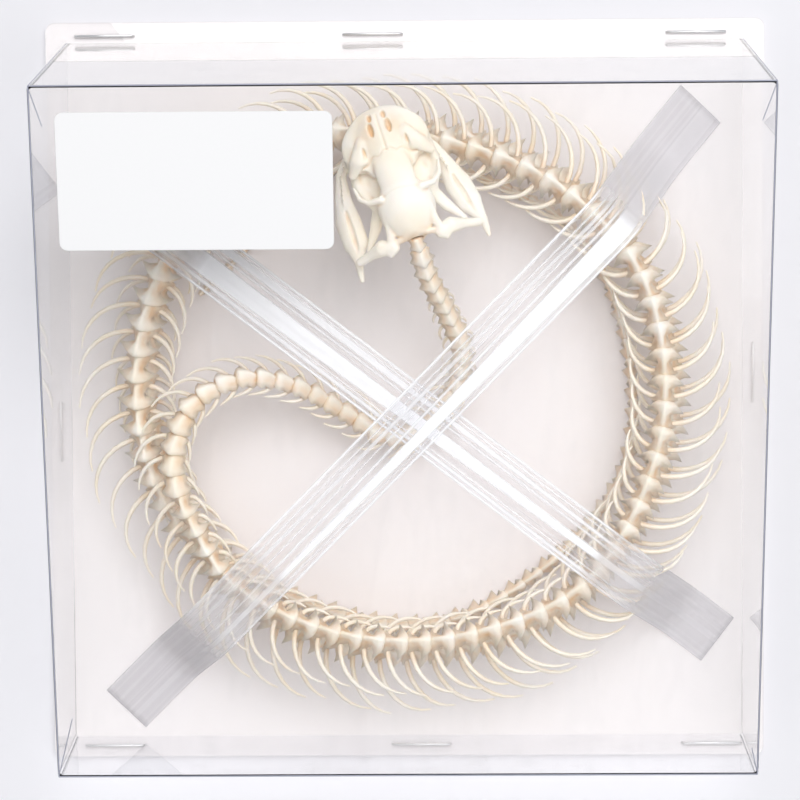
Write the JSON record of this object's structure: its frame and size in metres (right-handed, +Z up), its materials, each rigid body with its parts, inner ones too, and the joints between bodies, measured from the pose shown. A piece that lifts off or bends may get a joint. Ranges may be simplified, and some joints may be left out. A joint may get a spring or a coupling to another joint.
{
  "type": "coiled snake skeleton",
  "caption": "Life-size coiled snake skeleton held by crossed clear film straps on a white card, under a clear sloping cover with a blank label.",
  "frame": {"origin": "centre of the underside of the card", "axes": "+Z up, +Y towards the high end of the cover, where the skull lies, +X to the right seen from above"},
  "size_m": [0.157, 0.162, 0.0547],
  "materials": {
    "card": "matte white board",
    "clear_cover": "thin clear folded sheet",
    "label": "blank white sticker",
    "film": "clear pleated film",
    "bone": "bleached dry bone"
  },
  "bodies": {
    "root": {"card": "card", "cover": "clear_cover", "label": "label", "strap_rising": "film", "strap_falling": "film", "neck_1": "bone", "neck_2": "bone", "trunk_1": "bone", "trunk_2": "bone", "trunk_3": "bone", "trunk_4": "bone", "trunk_5": "bone", "trunk_6": "bone", "trunk_7": "bone", "trunk_8": "bone", "trunk_9": "bone", "trunk_10": "bone", "tail_1": "bone", "tail_2": "bone", "tail_3": "bone", "skull": "bone", "mandible_right": "bone", "mandible_left": "bone"}
  },
  "joints": []
}
